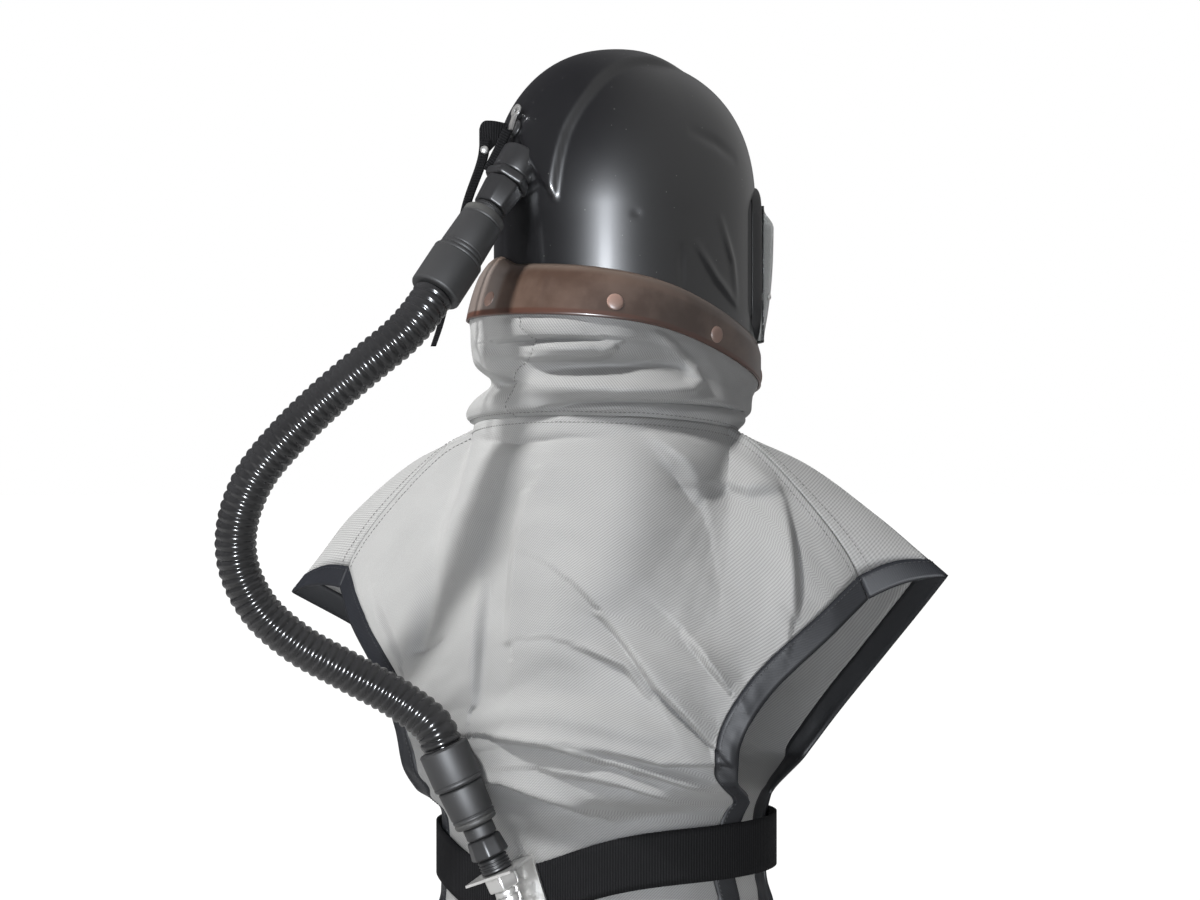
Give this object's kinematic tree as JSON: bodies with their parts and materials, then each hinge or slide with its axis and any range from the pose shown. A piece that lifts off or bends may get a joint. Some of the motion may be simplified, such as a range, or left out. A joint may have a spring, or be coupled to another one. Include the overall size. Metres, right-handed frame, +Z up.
{
  "type": "supplied-air helmet",
  "caption": "Hard air-fed helmet with a bowed visor, rubber rim band, cloth neck hood and shoulder cape, waist belt and a corrugated breathing hose down the back, held as worn.",
  "frame": {"origin": "middle of the head inside the shell", "axes": "+Z up, the chest faces -Y and the wearer's left is +X; the helmet is turned 30 degrees about Z to the wearer's right"},
  "size_m": [0.6615, 0.4258, 0.9279],
  "materials": {
    "shell": "glossy black moulded shell",
    "black_plastic": "black moulded plastic, slightly worn",
    "black_rubber": "matt black rubber",
    "hose": "black corrugated rubber",
    "lens": "clear plastic sheet, greyish at its edge",
    "steel": "bright nickel or chrome plate",
    "brown_rubber": "smoky brown see-through rubber",
    "cloth": "grey cotton twill with soft folds",
    "binding": "charcoal folded tape",
    "webbing": "black woven webbing"
  },
  "bodies": {
    "root": {"shell": "shell", "visor_gasket": "black_rubber", "visor_frame": "black_plastic", "visor_lens": "lens", "visor_screw_left": "steel", "visor_screw_right": "steel", "rim_band": "brown_rubber", "band_stud_1": "brown_rubber", "band_stud_2": "brown_rubber", "band_stud_3": "brown_rubber", "band_stud_4": "brown_rubber", "band_stud_5": "brown_rubber", "band_stud_6": "brown_rubber", "band_stud_7": "brown_rubber", "inlet_boss": "black_plastic", "inlet_lock_nut": "black_plastic", "inlet_gland_nut": "black_plastic", "inlet_neck": "black_plastic", "inlet_sleeve": "black_rubber", "inlet_cuff": "black_rubber", "strap_disc": "black_plastic", "strap_clip": "steel", "strap_tab": "webbing", "strap_tail": "webbing", "strap_rivet": "steel", "neck_hood": "cloth", "cape_back": "cloth", "binding_back_left": "binding", "binding_back_right": "binding", "cape_front": "cloth", "binding_front_left": "binding", "binding_front_right": "binding", "belt": "webbing", "belt_bracket": "steel", "supply_hex": "steel", "supply_nipple": "steel", "outlet_body": "black_plastic", "outlet_gland_nut": "black_plastic", "outlet_neck": "black_plastic", "outlet_sleeve": "black_rubber", "outlet_cuff": "black_rubber", "air_hose": "hose"}
  },
  "joints": []
}
